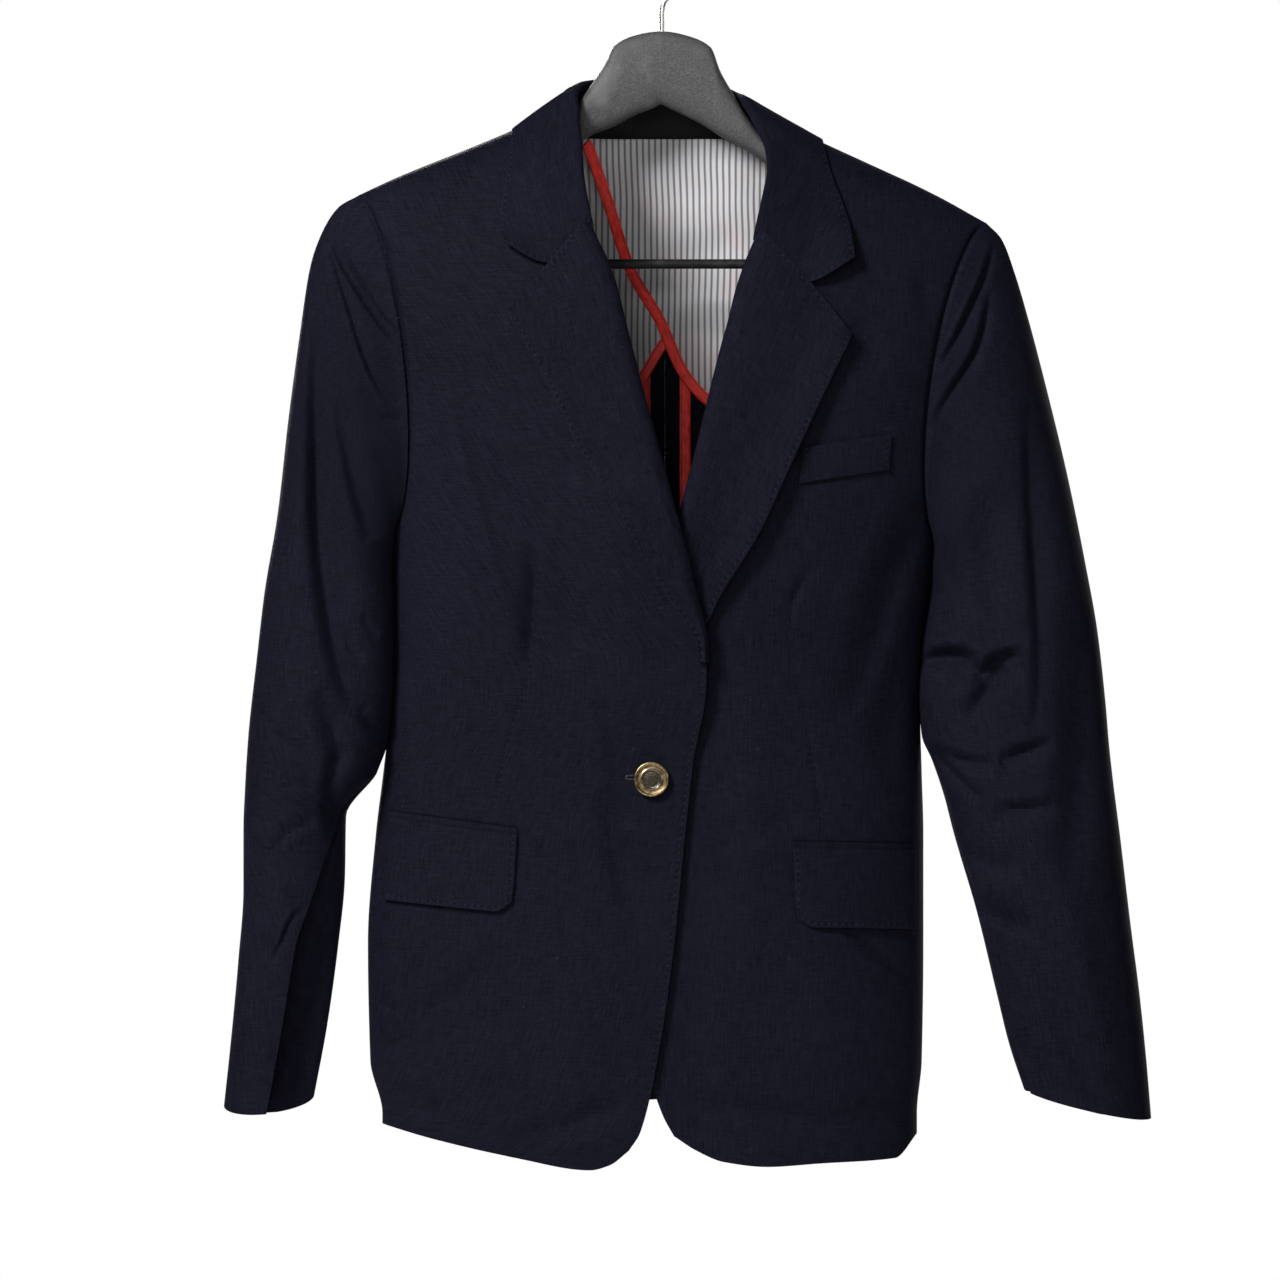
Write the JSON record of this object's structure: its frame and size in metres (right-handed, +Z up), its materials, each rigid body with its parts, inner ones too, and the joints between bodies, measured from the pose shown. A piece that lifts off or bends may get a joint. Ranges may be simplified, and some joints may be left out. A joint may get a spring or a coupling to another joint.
{
  "type": "tailored jacket on a hanger",
  "caption": "tailored single-breasted jacket with notched lapels, flapped pockets and a striped half lining with bound seams, hung closed on a broad contoured hanger with a swivel hook",
  "frame": {"origin": "the point inside the hook's bend that bears on the rail", "axes": "+X to the wearer's left, the front faces -Y, +Z up"},
  "size_m": [0.5764, 0.1352, 0.767],
  "materials": {
    "navy_cloth": "very dark navy wool weave with a slight sheen",
    "striped_lining": "smooth lining in narrow grey and off-white stripes",
    "red_binding": "red satin bias binding",
    "black_facing": "black cloth",
    "bronze_button": "dark bronzed, polished rim",
    "hanger_grey": "charcoal, finely grained",
    "hook_steel": "bright plated wire",
    "bar_black": "black"
  },
  "bodies": {
    "root": {"front_right": "navy_cloth", "front_left": "navy_cloth", "back_right": "navy_cloth", "back_left": "navy_cloth", "upper_sleeve_right": "navy_cloth", "upper_sleeve_left": "navy_cloth", "under_sleeve_right": "navy_cloth", "under_sleeve_left": "navy_cloth", "lapel_right": "navy_cloth", "lapel_left": "navy_cloth", "collar": "navy_cloth", "collar_stand": "navy_cloth", "allowance_right": "navy_cloth", "allowance_left": "navy_cloth", "pocket_flap_right": "navy_cloth", "pocket_flap_left": "navy_cloth", "pocket_jet_right": "navy_cloth", "pocket_jet_left": "navy_cloth", "chest_welt": "navy_cloth", "button_thread": "navy_cloth", "lining_right": "striped_lining", "lining_left": "striped_lining", "lining_binding_right": "red_binding", "lining_binding_left": "red_binding", "allowance_binding_right": "red_binding", "allowance_binding_left": "red_binding", "neck_facing": "black_facing", "button": "bronze_button", "hanger_arms": "hanger_grey", "hanger_hook": "hook_steel", "hanger_bar": "bar_black"}
  },
  "joints": []
}
